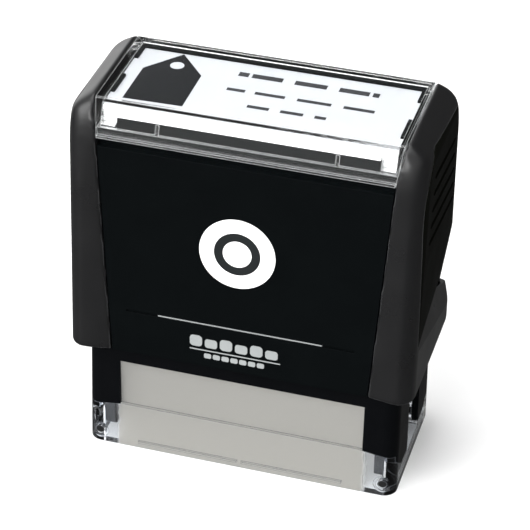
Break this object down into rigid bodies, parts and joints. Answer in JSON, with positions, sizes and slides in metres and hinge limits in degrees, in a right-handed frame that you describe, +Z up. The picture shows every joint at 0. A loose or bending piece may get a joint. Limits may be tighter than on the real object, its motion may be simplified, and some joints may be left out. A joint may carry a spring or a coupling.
{
  "type": "self inking stamp",
  "caption": "Spring-loaded self-inking hand stamp: cap slides down over a clear-footed base while an inked text plate turns over to print; index window on top.",
  "frame": {"origin": "centre of the footprint, on the plane the stamp stands on", "axes": "+Z up, -Y towards the front panel with the badge, +X to the right seen from the front"},
  "size_m": [0.076, 0.0392, 0.0866],
  "materials": {
    "black_plastic": "moulded ABS, fine satin texture",
    "clear_plastic": "clear polystyrene, polished mould",
    "foot_rubber": "matt",
    "cam_plastic": "acetal, satin",
    "cartridge_plastic": "moulded polypropylene",
    "ink_felt": "felt soaked with black ink",
    "carrier_plastic": "moulded ABS",
    "pin_steel": "turned",
    "foam": "closed-cell foam",
    "die_rubber": "laser-engraved rubber",
    "spring_steel": "drawn wire",
    "cap_plastic": "moulded ABS, fine satin texture",
    "grey_plastic": "moulded ABS, satin",
    "grip_plastic": "moulded, soft matt",
    "white_plastic": "moulded ABS",
    "card_paper": "smooth paper card",
    "white_label": "printed",
    "light_print": "printed"
  },
  "bodies": {
    "base": {"base_frame": "black_plastic", "clear_foot": "clear_plastic", "foot_pins": "foot_rubber", "right_cam_plate": "cam_plastic", "left_cam_plate": "cam_plastic", "ink_cartridge": "cartridge_plastic", "ink_pad": "ink_felt", "return_spring": "spring_steel"},
    "cap": {"cap_shell": "cap_plastic", "right_side_shell": "grey_plastic", "left_side_shell": "grey_plastic", "right_grip": "grip_plastic", "left_grip": "grip_plastic", "card_tray": "white_plastic", "index_card": "card_paper", "front_badge": "white_label", "accent_line": "white_label", "front_marks": "light_print"},
    "die": {"die_carrier": "carrier_plastic", "axle_pins": "pin_steel", "cam_followers": "pin_steel", "die_cushion": "foam", "text_plate": "die_rubber"},
    "window": {"index_window": "clear_plastic"}
  },
  "joints": [
    {"name": "cap_press", "type": "slide", "parent": "base", "child": "cap", "axis": [0, 0, -1], "range_m": [0, 0.024], "stiffness_N_per_m": 420, "springref_m": -0.01, "deforming": ["return_spring"]},
    {"name": "die_flip", "type": "hinge", "parent": "cap", "child": "die", "pos_m": [0, 0, 0.0306], "axis": [1, 0, 0], "range_deg": [0, 180]},
    {"name": "window_lift", "type": "slide", "parent": "cap", "child": "window", "axis": [0, 0, 1], "range_m": [0, 0.012]}
  ],
  "couplings": [
    {"joint": "die_flip", "follows": "cap_press", "rad_per_m": 130.9}
  ]
}
